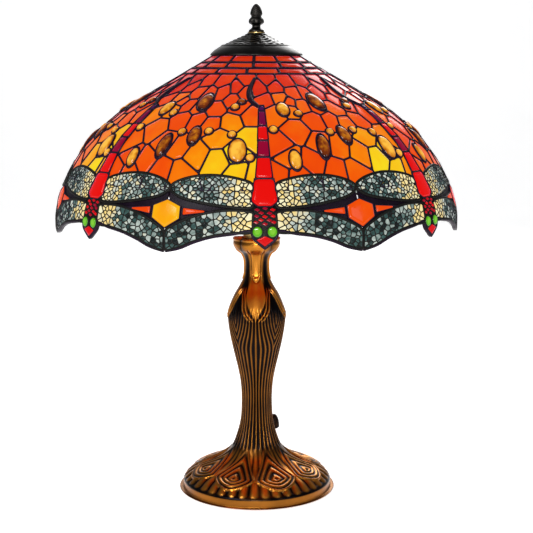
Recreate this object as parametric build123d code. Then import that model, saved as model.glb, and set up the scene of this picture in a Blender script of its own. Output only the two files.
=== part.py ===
from build123d import *
import math
import os

# A table lamp: a cast bronze foot and stem, two bulbs on a cluster, and a domed leaded glass
# shade with seven dragonflies, held down by a cap and a screwed finial. Millimetres and degrees.
# +Z is up, the origin is where the stem's axis meets the table, and the front faces -Y.
# An azimuth is counted from the front, and grows towards +X.

os.makedirs("parts", exist_ok=True)

# ---- Shade ----
shade_radius = 254.0
shade_drop = 216.6
shade_mouth_radius = 54.0
shade_rim_height = 345.0
glass_thickness = 3.0
came_width = 3.0
brick_row_depth = 13.5
first_row_depth = 17.0
field_row_ends = (126.0, 192.0)
wing_top = 224.0
wing_gap = 259.0
dragonflies = 7
front_turn = 2.5
bricks = 14
# The shade's outer line as shares of its width and its drop: a cone, a shoulder and a skirt.
shade_curve = (
    (0.0, 0.0),
    (0.19, 0.105),
    (0.53, 0.289),
    (0.6625, 0.381),
    (0.7725, 0.4746),
    (0.8825, 0.615),
    (0.9625, 0.7645),
    (1.0, 0.903),
    (1.0, 1.0),
)
body_width = 26.0
tail_width = 12.0
head_drop = 9.0
scallop_depth = 21.0
filigree_thickness = 0.4
eye_radius = 5.5
eye_spacing = 15.0
eye_drop = 292.0
hexagon_radius = 16.0
jewel_rise = 2.5
# Oval jewels of one sector: degrees from the dragonfly, distance down the glass, width, height.
large_jewels = (
    (25.7, 100.0, 16.0, 33.0),
    (19.2, 172.0, 14.0, 33.0),
    (29.0, 168.0, 13.0, 27.0),
    (43.5, 172.0, 18.0, 31.0),
    (8.9, 108.0, 13.0, 24.0),
    (9.4, 207.0, 12.0, 20.0),
)
small_jewels = (
    (40.5, 116.0),
    (14.4, 135.0),
    (3.9, 157.0),
    (23.5, 163.0),
    (33.2, 161.0),
    (41.2, 145.0),
    (47.3, 203.0),
)
small_jewel_radius = 5.0
ring_width = 11.0
ring_thickness = 2.5

# ---- Cap and finial ----
cap_radius = 58.0
cap_wall = 2.0
cap_ridge_radius = 43.0
cap_ridge_height = 11.0
cap_top_radius = 12.0
cap_top_height = 24.0
washer_radius = 11.0
washer_thickness = 1.0
finial_height = 34.9
finial_foot_radius = 9.8
finial_neck_radius = 5.6
finial_bulb_radius = 9.8
finial_acorn_radius = 7.7
bush_wall = 1.0
bush_length = 9.0

# ---- Foot and stem ----
foot_radius = 96.5
foot_edge_height = 11.0
foot_dome_height = 54.0
casting_wall = 4.5
felt_thickness = 1.5
felt_inset = 3.0
waist_radius = 19.0
waist_height = 110.0
belly_radius = 37.0
belly_height = 229.0
neck_radius = 16.0
neck_height = 292.0
collar_radius = 29.5
stem_height = 330.0
stem_top_thickness = 8.0
ballast_fit = 2.0
ballast_thickness = 9.0
ballast_gap = 3.0
hood_azimuth = 135.0
hood_radius = 8.4
hood_stand_off = 6.8
hood_floor = 72.0
hood_height = 15.0
hood_roof = 2.0
cord_hole_radius = 3.0
grommet_wall = 1.3
grommet_length = 8.0
grommet_lip = 0.9

# ---- Pipe, cluster, sockets and bulbs ----
pipe_radius = 4.8
pipe_bore = 3.4
nut_width = 14.0
nut_thickness = 4.0
large_washer_radius = 14.0
large_washer_thickness = 2.0
wire_radius = 1.3
check_ring_radius = 17.0
check_ring_thickness = 4.0
cluster_radius = 19.0
cluster_height = 16.0
cluster_wall = 1.6
cluster_lid = 3.5
wire_nut_radius = 3.0
wire_nut_length = 9.0
wire_nut_offset = 11.0
socket_tilt = 35.0
port_radius = 15.0
port_rise = 10.0
nipple_length = 12.0
nipple_inside = 3.0
socket_radius = 16.5
socket_wall = 1.2
socket_depth = 34.0
liner_wall = 1.5
screw_shell_wall = 0.7
contact_radius = 3.5
contact_height = 3.0
socket_lip = 2.0
bulb_base_radius = 12.5
bulb_base_length = 24.0
bulb_tip_radius = 4.0
bulb_tip_height = 2.0
bulb_radius = 25.0
bulb_wall = 1.0
bulb_centre_rise = 26.0
rod_radius = 3.2
rod_top_inset = 23.0
rod_nut_width = 11.0
wheel_hub_radius = 9.0
wheel_thickness = 3.0
wheel_rim_width = 6.0
wheel_arm_width = 6.0
wheel_arms = 4

# ---- Clearances ----
running = 0.08
loose = 0.3

# ---- Sizes worked out from those above ----
sector = 360 / dragonflies
brick_angle = 360 / bricks
mouth_height = shade_rim_height + shade_drop
cap_floor = mouth_height - 2.0
cap_top = cap_floor + cap_top_height + 2 * cap_wall
check_ring_floor = stem_height
cluster_floor = check_ring_floor + check_ring_thickness
cluster_top = cluster_floor + cluster_height
lid_top = cluster_top + cluster_lid
ring_floor = mouth_height - 8.0
wheel_radius = shade_mouth_radius - 1.5
finial_floor = cap_top + washer_thickness
total_height = finial_floor + finial_height


def revolved(outline, start=0.0, sweep=360.0):
    """A solid turned about Z from (radius, height) corners, between two azimuths."""
    corners = [Vector(radius, 0, height) for radius, height in outline]
    face = Face(Wire.make_polygon(corners, close=True))
    return Rot(0, 0, start - 90) * revolve(face, Axis.Z, sweep)


def ring(inner, outer, floor, thickness):
    """A flat ring or, with no inner radius, a disc."""
    outline = [(inner, floor), (outer, floor), (outer, floor + thickness), (inner, floor + thickness)]
    return revolved(outline)


def hex_nut(bore, width, floor, thickness):
    corners = width / math.sqrt(3)
    nut = extrude(RegularPolygon(corners, 6), thickness) - Cylinder(bore, 3 * thickness)
    return Pos(0, 0, floor) * nut


def line_radius(line, height):
    """The radius of a line of (radius, height) points at this height, from the bottom up."""
    for low, high in zip(line, line[1:]):
        if high[1] >= height:
            break
    share = (height - low[1]) / (high[1] - low[1])
    return low[0] + share * (high[0] - low[0])


def at_azimuth(azimuth, radius, height=0.0):
    """A place on the circle of this radius, with its x axis pointing out from the lamp's axis."""
    return Rot(0, 0, azimuth - 90) * Pos(radius, 0, height)


def save(name, pieces):
    solids = pieces if isinstance(pieces, list) else [pieces]
    flat = [solid for piece in solids for solid in piece.solids()]
    export_step(flat[0] if len(flat) == 1 else Compound(children=flat), f"parts/{name}.step")


# ---- The shade's line, followed by the distance down the glass from the mouth ----
stations = [
    (
        shade_mouth_radius + across * (shade_radius - shade_mouth_radius),
        mouth_height - down * shade_drop,
    )
    for across, down in shade_curve
]
distances = [0.0]
for here, after in zip(stations, stations[1:]):
    distances.append(distances[-1] + math.dist(here, after))
glass_length = distances[-1]


def tangent(first, last):
    length = math.dist(first, last)
    return ((last[0] - first[0]) / length, (last[1] - first[1]) / length)


def glass_point(distance, depth=0.0):
    """(radius, height) this far down the glass, and this deep under its outer face."""
    for i in range(len(stations) - 1):
        if distance <= distances[i + 1] or i == len(stations) - 2:
            break
    if abs(distance - distances[i]) < 1e-6:
        along = tangent(stations[max(i - 1, 0)], stations[i + 1])
    elif abs(distance - distances[i + 1]) < 1e-6:
        along = tangent(stations[i], stations[min(i + 2, len(stations) - 1)])
    else:
        along = tangent(stations[i], stations[i + 1])
    share = (distance - distances[i]) / (distances[i + 1] - distances[i])
    radius = stations[i][0] + share * (stations[i + 1][0] - stations[i][0])
    height = stations[i][1] + share * (stations[i + 1][1] - stations[i][1])
    return (radius + depth * along[1], height - depth * along[0])


def strip(top, bottom, outer_depth=0.0, inner_depth=glass_thickness):
    """The section of the glass between two distances down it."""
    bends = [d for d in distances if top + 1e-6 < d < bottom - 1e-6]
    along = [top, *bends, bottom]
    outer = [glass_point(d, outer_depth) for d in along]
    inner = [glass_point(d, inner_depth) for d in reversed(along)]
    return outer + inner


def width_angle(width, distance):
    """The angle that this width takes up at a distance down the glass."""
    return math.degrees(width / glass_point(distance)[0])


def pane(top, bottom, start, end, outer_depth=0.0, inner_depth=glass_thickness):
    """A piece of glass between two distances and two azimuths, with room for the came round it."""
    trim = width_angle(came_width / 2, (top + bottom) / 2)
    section = strip(top + came_width / 2, bottom - came_width / 2, outer_depth, inner_depth)
    return revolved(section, start + trim, end - start - 2 * trim)


def on_glass(distance, azimuth):
    """A place on the glass with its z axis pointing straight out of it and its y axis up."""
    radius, height = glass_point(distance)
    before = glass_point(distance - 1)
    after = glass_point(distance + 1)
    along = tangent(before, after)
    around = math.radians(azimuth - 90)
    outward = Vector(math.cos(around), math.sin(around), 0)
    origin = outward * radius + Vector(0, 0, height)
    normal = outward * -along[1] + Vector(0, 0, along[0])
    sideways = Vector(-math.sin(around), math.cos(around), 0)
    return Plane(origin=origin, x_dir=sideways, z_dir=normal).location


def without(pieces, tools):
    """Each piece with the tools that reach it cut away."""
    result = []
    for piece in pieces:
        box = piece.bounding_box()
        near = [t for t in tools if box_gap(box, t.bounding_box()) < 1]
        result.append(piece - near if near else piece)
    return result


def box_gap(one, other):
    gaps = [
        max(a - d, c - b)
        for a, b, c, d in zip(one.min, one.max, other.min, other.max)
    ]
    return max(gaps)


def sectors():
    return [front_turn + i * sector for i in range(dragonflies)]


# ---- Cut-outs and jewels of the glass ----
def jewel(distance, azimuth, width, height):
    body = extrude(Ellipse(width / 2, height / 2), glass_thickness + jewel_rise)
    return on_glass(distance, azimuth) * Pos(0, 0, -glass_thickness) * body


def make_jewels(places):
    return [
        jewel(distance, axis + turn, width, height)
        for axis in sectors()
        for turn, distance, width, height in places
    ]


def make_eyes():
    turn = width_angle(eye_spacing / 2, eye_drop)
    body = extrude(Circle(eye_radius), 2 * glass_thickness, both=True)
    skin = revolved(strip(eye_drop - 2 * eye_radius, eye_drop + 2 * eye_radius))
    return [
        (on_glass(eye_drop, axis + side * turn) * body) & skin
        for axis in sectors()
        for side in (-1, 1)
    ]


def make_hexagons():
    tool = extrude(RegularPolygon(hexagon_radius, 6, rotation=90), 4 * glass_thickness, both=True)
    tools = [on_glass(wing_gap, axis + sector / 2) * tool for axis in sectors()]
    skin = revolved(strip(wing_gap - 2 * hexagon_radius, wing_gap + 2 * hexagon_radius))
    return tools, [tool & skin for tool in tools]


def rim_cutter(axis, side):
    """Takes away what hangs below one scallop's slanting edge, from the head to the wing tips."""
    half_chord = shade_radius * math.sin(math.radians(sector / 4))
    slope = math.degrees(math.atan2(scallop_depth, 2 * half_chord))
    block = Pos(0, 0, -shade_drop / 2) * Box(shade_radius / 2, 4 * half_chord, shade_drop)
    middle = at_azimuth(axis + side * sector / 4, shade_radius, shade_rim_height + scallop_depth / 2)
    return middle * Rot(-side * slope, 0, 0) * block


# ---- Shade ----
large = make_jewels(large_jewels)
small = make_jewels([(turn, d, 2 * small_jewel_radius, 2 * small_jewel_radius) for turn, d in small_jewels])
eyes = make_eyes()
hexagon_tools, hexagons = make_hexagons()
row_ends = [first_row_depth + i * brick_row_depth for i in range(3)]
row_starts = [0.0, *row_ends[:2]]
for row, (top, bottom) in enumerate(zip(row_starts, row_ends), start=1):
    shift = front_turn + (row - 1) * brick_angle / 4
    panes = [
        pane(top, bottom, shift + i * brick_angle, shift + (i + 1) * brick_angle)
        for i in range(bricks)
    ]
    save(f"brick_glass_row_{row}", panes)

field_rows = {
    "field_glass_upper": (row_ends[-1], field_row_ends[0]),
    "field_glass_middle": (field_row_ends[0], field_row_ends[1]),
    "field_glass_lower": (field_row_ends[1], wing_top),
}
for name, (top, bottom) in field_rows.items():
    half_tail = 0.0 if name == "field_glass_upper" else width_angle(tail_width / 2, bottom)
    panes = []
    for axis in sectors():
        panes.append(pane(top, bottom, axis + half_tail, axis + sector / 2))
        panes.append(pane(top, bottom, axis + sector / 2, axis + sector - half_tail))
    save(name, without(panes, large + small))

tails = []
for top, bottom in ((field_row_ends[0], field_row_ends[1]), (field_row_ends[1], wing_top)):
    half_tail = width_angle(tail_width / 2, bottom)
    tails += [pane(top, bottom, axis - half_tail, axis + half_tail) for axis in sectors()]
save("dragonfly_tails", without(tails, large + small))

half_body = width_angle(body_width / 2, wing_gap)
backed = (filigree_thickness, glass_thickness)
skin = (0.0, filigree_thickness)
thorax_area = [(wing_top, wing_gap, axis - half_body, axis + half_body) for axis in sectors()]
head_end = glass_length - head_drop
head_area = [(wing_gap, head_end, axis - half_body, axis + half_body) for axis in sectors()]
save("dragonfly_thoraxes", [pane(*area, *backed) for area in thorax_area])
save("thorax_filigree", [pane(*area, *skin) for area in thorax_area])
save("dragonfly_heads", without([pane(*area) for area in head_area], eyes))
save("dragonfly_eyes", eyes)

cutters = {}
for axis in sectors():
    cutters[axis, 1] = rim_cutter(axis, 1)
    cutters[axis, -1] = rim_cutter(axis, -1)


def wing_panes(top, bottom, depths, scalloped):
    """Both wings of every dragonfly in one band of the glass."""
    found = []
    for axis in sectors():
        right = pane(top, bottom, axis + half_body, axis + sector / 2, *depths)
        left = pane(top, bottom, axis - sector / 2, axis - half_body, *depths)
        if scalloped:
            right = right - cutters[axis, 1]
            left = left - cutters[axis, -1]
        found += [right, left]
    return without(found, hexagon_tools)


save("upper_wing_glass", wing_panes(wing_top, wing_gap, backed, False))
save("upper_wing_filigree", wing_panes(wing_top, wing_gap, skin, False))
save("lower_wing_glass", wing_panes(wing_gap, glass_length, backed, True))
save("lower_wing_filigree", wing_panes(wing_gap, glass_length, skin, True))
save("gap_hexagons", hexagons)
save("large_jewels", large)
save("small_jewels", small)


def came_ring(distance):
    section = strip(distance - came_width / 2, distance + came_width / 2)
    return [revolved(section, front_turn + i * brick_angle, brick_angle) for i in range(bricks)]


def came_rib(top, bottom, azimuth):
    half = width_angle(came_width / 2, (top + bottom) / 2)
    section = strip(top + came_width / 2, bottom - came_width / 2)
    return revolved(section, azimuth - half, 2 * half)


cames = [arc for d in (*row_ends, *field_row_ends, wing_top) for arc in came_ring(d)]
cames += without(came_ring(wing_gap), hexagon_tools)
for row, (top, bottom) in enumerate(zip(row_starts, row_ends)):
    shift = front_turn + row * brick_angle / 4
    cames += [came_rib(top, bottom, shift + i * brick_angle) for i in range(bricks)]
cames += [came_rib(row_ends[-1], field_row_ends[0], axis) for axis in sectors()]
for name, (top, bottom) in field_rows.items():
    cames += [came_rib(top, bottom, axis + sector / 2) for axis in sectors()]
    if name != "field_glass_upper":
        half_tail = width_angle(tail_width / 2, bottom)
        cames += [came_rib(top, bottom, axis + s * half_tail) for axis in sectors() for s in (-1, 1)]
wing_ribs = []
for axis in sectors():
    for side in (-1, 1):
        wing_ribs.append(came_rib(wing_top, wing_gap, axis + side * half_body))
        lower = came_rib(wing_gap, glass_length, axis + side * half_body)
        wing_ribs.append(lower - cutters[axis, side])
    wing_ribs.append(came_rib(wing_top, wing_gap, axis + sector / 2))
    wing_ribs.append(came_rib(wing_gap, glass_length, axis + sector / 2))
cames += without(wing_ribs, hexagon_tools)
save("lead_came", without(cames, large + small + eyes))

ring_outer = glass_point(came_width / 2, glass_thickness)[0] - loose
save("aperture_ring", ring(ring_outer - ring_width, ring_outer, ring_floor, ring_thickness))


# ---- Cap, washer, finial and its bush ----
hole = rod_radius + loose
cap_shoulder = (0.88 * cap_radius, cap_floor + 0.62 * cap_ridge_height)
cap_outer = [
    (hole, cap_top),
    (cap_top_radius, cap_top),
    (cap_ridge_radius, cap_floor + cap_ridge_height + cap_wall),
    cap_shoulder,
    (cap_radius, cap_floor + cap_wall),
    (cap_radius, cap_floor),
]
cap_inner = [
    (cap_radius - cap_wall, cap_floor + 0.6 * cap_wall),
    (cap_shoulder[0], cap_shoulder[1] - 1.5 * cap_wall),
    (cap_ridge_radius, cap_floor + cap_ridge_height - 0.5 * cap_wall),
    (cap_top_radius, cap_top - 1.5 * cap_wall),
    (hole, cap_top - 1.5 * cap_wall),
]
save("cap", revolved(cap_outer + cap_inner))
save("cap_washer", ring(hole, washer_radius, cap_top, washer_thickness))

rod_top = total_height - rod_top_inset
bush_radius = rod_radius + running + bush_wall
finial_side = [
    (finial_foot_radius, 2.0),
    (finial_neck_radius, 0.2 * finial_height),
    (finial_bulb_radius, 0.38 * finial_height),
    (0.64 * finial_bulb_radius, 0.58 * finial_height),
    (finial_acorn_radius, 0.67 * finial_height),
    (0.7 * finial_acorn_radius, 0.88 * finial_height),
    (0.0, finial_height),
]
side = Spline(*[Vector(radius, 0, finial_floor + height) for radius, height in finial_side])
foot = Polyline(
    (0, 0, total_height),
    (0, 0, finial_floor),
    (finial_foot_radius, 0, finial_floor),
    side @ 0,
)
finial = revolve(make_face(side + foot), Axis.Z)
finial -= ring(0, bush_radius, finial_floor - 1, bush_length + 1)
finial -= ring(0, hole, finial_floor - 1, rod_top + loose - finial_floor + 1)
save("finial", finial)
save("finial_bush", ring(rod_radius + running, bush_radius, finial_floor, bush_length))

# ---- Rod, wheel and nuts that hold the shade up ----
wheel_floor = ring_floor - wheel_thickness
wheel = ring(wheel_radius - wheel_rim_width, wheel_radius, wheel_floor, wheel_thickness)
wheel += ring(0, wheel_hub_radius, wheel_floor, wheel_thickness)
arm_length = wheel_radius - wheel_rim_width / 2
arm = Box(arm_length, wheel_arm_width, wheel_thickness)
for i in range(wheel_arms):
    place = Rot(0, 0, i * 360 / wheel_arms) * Pos(arm_length / 2, 0, wheel_floor + wheel_thickness / 2)
    wheel += place * arm
wheel -= ring(0, rod_radius, wheel_floor - 1, wheel_thickness + 2)
save("shade_wheel", wheel)
rod_floor = cluster_top - 2
save("shade_rod", ring(0, rod_radius, rod_floor, rod_top - rod_floor))
save("wheel_nut", hex_nut(rod_radius, rod_nut_width, wheel_floor - nut_thickness, nut_thickness))
save("rod_nut", hex_nut(rod_radius, rod_nut_width, lid_top, nut_thickness))

# ---- Cast foot and stem ----
edge_top = felt_thickness + foot_edge_height
dome = foot_dome_height - foot_edge_height
foot_line = [
    (foot_radius, edge_top),
    (0.93 * foot_radius, edge_top + 0.15 * dome),
    (0.73 * foot_radius, edge_top + 0.42 * dome),
    (0.52 * foot_radius, edge_top + 0.62 * dome),
    (0.37 * foot_radius, edge_top + dome),
]
stem_line = [
    (1.3 * waist_radius, 0.66 * waist_height),
    (waist_radius, waist_height),
    (0.5 * (waist_radius + belly_radius), 0.5 * (waist_height + belly_height)),
    (belly_radius, belly_height),
    (0.5 * (neck_radius + belly_radius), belly_height + 0.45 * (neck_height - belly_height)),
    (neck_radius, neck_height),
    (collar_radius, stem_height - 2),
]
side_points = foot_line + stem_line
outline = Spline(*[Vector(radius, 0, height) for radius, height in side_points])
closing = Polyline(
    outline @ 1,
    (collar_radius, 0, stem_height),
    (0, 0, stem_height),
    (0, 0, felt_thickness),
    (foot_radius, 0, felt_thickness),
    outline @ 0,
)
casting = revolve(make_face(outline + closing), Axis.Z)
ceiling = stem_height - stem_top_thickness
inner_side = [(radius - 1.2 * casting_wall, height - 0.08 * radius) for radius, height in side_points]
cavity = revolved(
    [
        (0, felt_thickness - 1),
        (foot_radius - casting_wall - felt_inset, felt_thickness - 1),
        *inner_side[1:-1],
        (neck_radius - casting_wall, ceiling),
        (0, ceiling),
    ]
)
casting -= cavity
casting -= ring(0, pipe_radius, ceiling - 1, stem_top_thickness + 2)

# The hood over the cord's way out: a rounded post at the back of the stem, open at its foot.
hood_reach = line_radius(side_points, hood_floor) + hood_stand_off
hood = at_azimuth(hood_azimuth, hood_reach, hood_floor)
dome_turns = [math.radians(angle) for angle in (0, 25, 50, 75)]
dome_line = [
    (hood_radius * math.cos(turn), hood_height + hood_radius * math.sin(turn))
    for turn in dome_turns
]
post = revolved([(0, 0), (hood_radius, 0), *dome_line, (0, dome_line[-1][1])])
casting += hood * post - cavity
way_radius = cord_hole_radius + grommet_wall
way_top = hood_height - hood_roof - way_radius
way = ring(0, way_radius, -1, way_top + 1)
way += Pos(-hood_reach / 4, 0, way_top) * Rot(0, 90, 0) * Cylinder(way_radius, hood_reach / 2)
casting -= hood * way
save("base_casting", casting)
sleeve = ring(cord_hole_radius, way_radius, 0, grommet_length)
lip = ring(cord_hole_radius, way_radius + grommet_lip, -grommet_lip, grommet_lip)
save("cord_grommet", hood * (sleeve + lip))
save("felt_pad", ring(0, foot_radius - felt_inset, 0, felt_thickness))

# ---- Ballast and the pipe that clamps the base together ----
web_floor = felt_thickness + ballast_gap
save("pipe_nut", hex_nut(pipe_radius, nut_width, web_floor, nut_thickness))
washer_floor = web_floor + nut_thickness
save("pipe_washer", ring(pipe_radius, large_washer_radius, washer_floor, large_washer_thickness))
ballast_floor = washer_floor + large_washer_thickness
ballast_radius = line_radius(inner_side, ballast_floor + ballast_thickness) - ballast_fit
save("ballast_disc", ring(pipe_radius, ballast_radius, ballast_floor, ballast_thickness))
pipe_top = cluster_floor + 2 * cluster_wall
save("lamp_pipe", ring(pipe_bore, pipe_radius, web_floor, pipe_top - web_floor))
save("check_ring", ring(pipe_radius, check_ring_radius, check_ring_floor, check_ring_thickness))
wire_top = cluster_top - 3 * wire_radius
wire = ring(0, wire_radius, web_floor, wire_top - web_floor)
save("lamp_wires", [Pos(side * wire_radius, 0, 0) * wire for side in (-1, 1)])


# ---- Cluster and its two sockets ----
def along_socket(side, distance):
    """A place on a socket's axis, this far from where its nipple starts, with z along the axis."""
    start = Pos(side * port_radius, 0, cluster_floor + port_rise)
    return start * Rot(0, side * socket_tilt, 0) * Pos(0, 0, distance)


cluster = ring(0, cluster_radius, cluster_floor, cluster_height)
cluster -= ring(0, cluster_radius - cluster_wall, cluster_floor + cluster_wall, cluster_height)
cluster -= ring(0, pipe_radius, cluster_floor - 1, 2 * cluster_wall + 1)
lid = ring(rod_radius, cluster_radius, cluster_top, cluster_lid)
nipple_start = -nipple_inside
nipple_full = nipple_length + nipple_inside + 2 * socket_wall
nipple_tool = ring(0, pipe_radius, nipple_start - 1, nipple_full + 2)
for side in (-1, 1):
    cluster -= along_socket(side, 0) * nipple_tool
    lid -= along_socket(side, 0) * nipple_tool
save("cluster_body", cluster)
save("cluster_lid", lid)
nipple = ring(pipe_bore, pipe_radius, nipple_start, nipple_full)
save("socket_nipples", [along_socket(side, 0) * nipple for side in (-1, 1)])
wire_nut = ring(0, wire_nut_radius, cluster_floor + cluster_wall, wire_nut_length)
save("wire_nuts", [Pos(0, side * wire_nut_offset, 0) * wire_nut for side in (-1, 1)])

screw_inner = bulb_base_radius + running
screw_outer = screw_inner + screw_shell_wall
liner_outer = socket_radius - socket_wall
floor = nipple_length + socket_wall
shell = ring(0, socket_radius, nipple_length, socket_depth)
shell -= ring(0, liner_outer, floor, socket_depth)
shell -= ring(0, pipe_radius, nipple_length - 1, 2 * socket_wall + 1)
liner_floor = nipple_length + 2 * socket_wall
liner_length = nipple_length + socket_depth - liner_floor
liner = ring(screw_outer, liner_outer, liner_floor, liner_length)
liner += ring(0, liner_outer, liner_floor, liner_wall)
contact_floor = liner_floor + liner_wall
contact = ring(0, contact_radius, contact_floor, contact_height)
screw_length = liner_length - liner_wall - socket_lip
screw_shell = ring(screw_inner, screw_outer, contact_floor, screw_length)
tip_floor = contact_floor + contact_height + loose
tip = ring(0, bulb_tip_radius, tip_floor, bulb_tip_height)
base_floor = tip_floor + bulb_tip_height
base = ring(0, bulb_base_radius, base_floor, bulb_base_length)
glass_floor = base_floor + bulb_base_length
centre = glass_floor + bulb_centre_rise


def bulb_solid(shrink):
    """The bulb's outer form or, shrunk by its wall, the space inside."""
    ball = Pos(0, 0, centre) * Sphere(bulb_radius - shrink)
    neck_radius_here = bulb_base_radius - shrink
    return ball + ring(0, neck_radius_here, glass_floor + shrink, centre - glass_floor - shrink)


bulb = bulb_solid(0) - bulb_solid(bulb_wall)
for side, name in ((-1, "left"), (1, "right")):
    place = along_socket(side, 0)
    save(f"socket_shell_{name}", place * shell)
    save(f"socket_liner_{name}", place * liner)
    save(f"socket_screw_shell_{name}", place * screw_shell)
    save(f"socket_contact_{name}", place * contact)
    save(f"bulb_tip_{name}", place * tip)
    save(f"bulb_base_{name}", place * base)
    save(f"bulb_glass_{name}", place * bulb)
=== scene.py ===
import bisect
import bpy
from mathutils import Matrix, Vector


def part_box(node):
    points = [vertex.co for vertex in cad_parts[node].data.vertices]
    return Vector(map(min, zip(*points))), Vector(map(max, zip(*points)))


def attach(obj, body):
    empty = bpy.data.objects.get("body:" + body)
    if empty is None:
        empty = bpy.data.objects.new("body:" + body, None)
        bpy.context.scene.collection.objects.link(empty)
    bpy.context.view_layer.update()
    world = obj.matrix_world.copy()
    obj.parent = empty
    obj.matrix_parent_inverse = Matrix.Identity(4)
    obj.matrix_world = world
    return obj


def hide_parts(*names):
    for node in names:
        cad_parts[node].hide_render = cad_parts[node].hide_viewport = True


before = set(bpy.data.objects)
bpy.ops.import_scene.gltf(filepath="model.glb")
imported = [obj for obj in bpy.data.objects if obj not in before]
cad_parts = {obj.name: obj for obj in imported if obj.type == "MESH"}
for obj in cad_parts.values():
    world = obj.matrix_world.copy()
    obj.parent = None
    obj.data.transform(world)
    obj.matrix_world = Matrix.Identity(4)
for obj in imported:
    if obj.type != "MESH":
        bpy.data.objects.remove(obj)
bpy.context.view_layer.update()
import copy
import math
import random
import bpy
import bmesh
from mathutils import Vector

# A leaded glass dragonfly lamp. Lengths in this script are millimetres unless a name says metres,
# azimuths are degrees from the front (-Y) towards +X, and "down" is the distance along the glass
# from the mouth of the shade. A "rise" is the distance out of the glass's outer face.
MM = 0.001
DRAGONFLIES = 7
SECTOR = 360 / DRAGONFLIES
BRICK = SECTOR / 2
FRONT_TURN = 2.5
MOUTH_RADIUS = 54.0
ROW_ENDS = (17.0, 30.5, 44.0)
FIELD_ENDS = (126.0, 192.0)
FIELD_FLOOR = 240.0
SKIN = 1.3
DETAIL = 2
# The glass's section: (share of the way out, share of the way down) from mouth to rim.
SHADE_CURVE = (
    (0.0, 0.0), (0.19, 0.105), (0.53, 0.289), (0.6625, 0.381), (0.7725, 0.4746), (0.8825, 0.615),
    (0.9625, 0.7645), (1.0, 0.903), (1.0, 1.0),
)
rng = random.Random(7)


# ---- Small helpers ----
def smooth_line(points, steps=12):
    """Points along a Catmull-Rom curve through these 2-D points."""
    ends = [points[0], *points, points[-1]]
    found = []
    for p0, p1, p2, p3 in zip(ends, ends[1:], ends[2:], ends[3:]):
        for i in range(steps):
            t = i / steps
            found.append(tuple(
                0.5 * (2 * b + (c - a) * t + (2 * a - 5 * b + 4 * c - d) * t * t
                       + (3 * b - a - 3 * c + d) * t ** 3)
                for a, b, c, d in zip(p0, p1, p2, p3)
            ))
    found.append(points[-1])
    return found


def clamp(value, low=0.0, high=1.0):
    return max(low, min(high, value))


def bump_of(value, centre, width):
    """1 at the centre, falling smoothly to 0 at the width."""
    return 0.5 + 0.5 * math.cos(math.pi * clamp(abs(value - centre) / width))


def ramp(value, start, end):
    """0 up to the start and 1 from the end on, with a smooth rise between them."""
    share = clamp((value - start) / (end - start))
    return share * share * (3 - 2 * share)


def round_axis(radius, degrees, height):
    """A place this far from the lamp's axis, in metres."""
    turn = math.radians(degrees)
    return Vector((radius * math.sin(turn), -radius * math.cos(turn), height)) * MM


class Line:
    """A smooth (radius, height) line that is followed by distance."""

    def __init__(self, points, steps=12):
        self.points = smooth_line(points, steps)
        self.reach = [0.0]
        for here, after in zip(self.points, self.points[1:]):
            self.reach.append(self.reach[-1] + math.dist(here, after))
        self.length = self.reach[-1]

    def at(self, distance):
        i = clamp(bisect.bisect_right(self.reach, distance) - 1, 0, len(self.reach) - 2)
        here, after = self.points[i], self.points[i + 1]
        share = (distance - self.reach[i]) / (self.reach[i + 1] - self.reach[i])
        return tuple(a + share * (b - a) for a, b in zip(here, after))

    def out(self, distance):
        """The unit (radius, height) direction that points away from the axis side of the line."""
        before, after = self.at(distance - 2), self.at(distance + 2)
        length = math.dist(before, after)
        return (-(after[1] - before[1]) / length, (after[0] - before[0]) / length)


shade_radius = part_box("lower_wing_filigree")[1].x / MM
rim_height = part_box("lower_wing_filigree")[0].z / MM - 1.5
mouth_height = 561.6
RADIUS_MARGIN = 0.05
glass_width = shade_radius - SKIN - MOUTH_RADIUS
glass_height = mouth_height - SKIN - rim_height
shade_line = Line([
    (MOUTH_RADIUS + across * glass_width, mouth_height - SKIN - drop * glass_height)
    for across, drop in SHADE_CURVE
])


def on_shade(azimuth, down, rise=0.0):
    """A place on the shade in metres, this far out of its outer face."""
    radius, height = shade_line.at(down)
    out = shade_line.out(down)
    radius = min(radius + rise * out[0], shade_radius - RADIUS_MARGIN)
    return round_axis(radius, azimuth, height + rise * out[1])


def mm_per_degree(down):
    return math.radians(1) * shade_line.at(down)[0]


class Piece:
    """A mesh under construction, with a tone for each vertex."""

    def __init__(self, name, slot, body, has_node=True):
        self.name, self.slot, self.body = name, slot, body
        self.replaces = (name,) if has_node else ()
        self.verts, self.faces, self.tones = [], [], []

    def add(self, points, tone=0.5):
        start = len(self.verts)
        self.verts += points
        self.tones += [tone] * len(points)
        return list(range(start, start + len(points)))

    def bridge(self, one, other, closed=True):
        count = len(one)
        for i in range(count if closed else count - 1):
            j = (i + 1) % count
            self.faces.append((one[i], one[j], other[j], other[i]))

    def build(self, material):
        mesh = bpy.data.meshes.new(self.name)
        mesh.from_pydata(self.verts, [], self.faces)
        layer = mesh.attributes.new("tone", "FLOAT", "POINT")
        layer.data.foreach_set("value", self.tones)
        work = bmesh.new()
        work.from_mesh(mesh)
        bmesh.ops.recalc_face_normals(work, faces=work.faces)
        for face in work.faces:
            face.smooth = True
        work.to_mesh(mesh)
        work.free()
        mesh.materials.append(material)
        piece = bpy.data.objects.new(self.name, mesh)
        bpy.context.scene.collection.objects.link(piece)
        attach(piece, self.body)
        if self.replaces:
            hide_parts(*self.replaces)


# ---- Materials ----
def new_material(name):
    material = bpy.data.materials.new(name)
    material.use_nodes = True
    tree = material.node_tree
    return material, tree, tree.nodes["Principled BSDF"]


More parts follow.
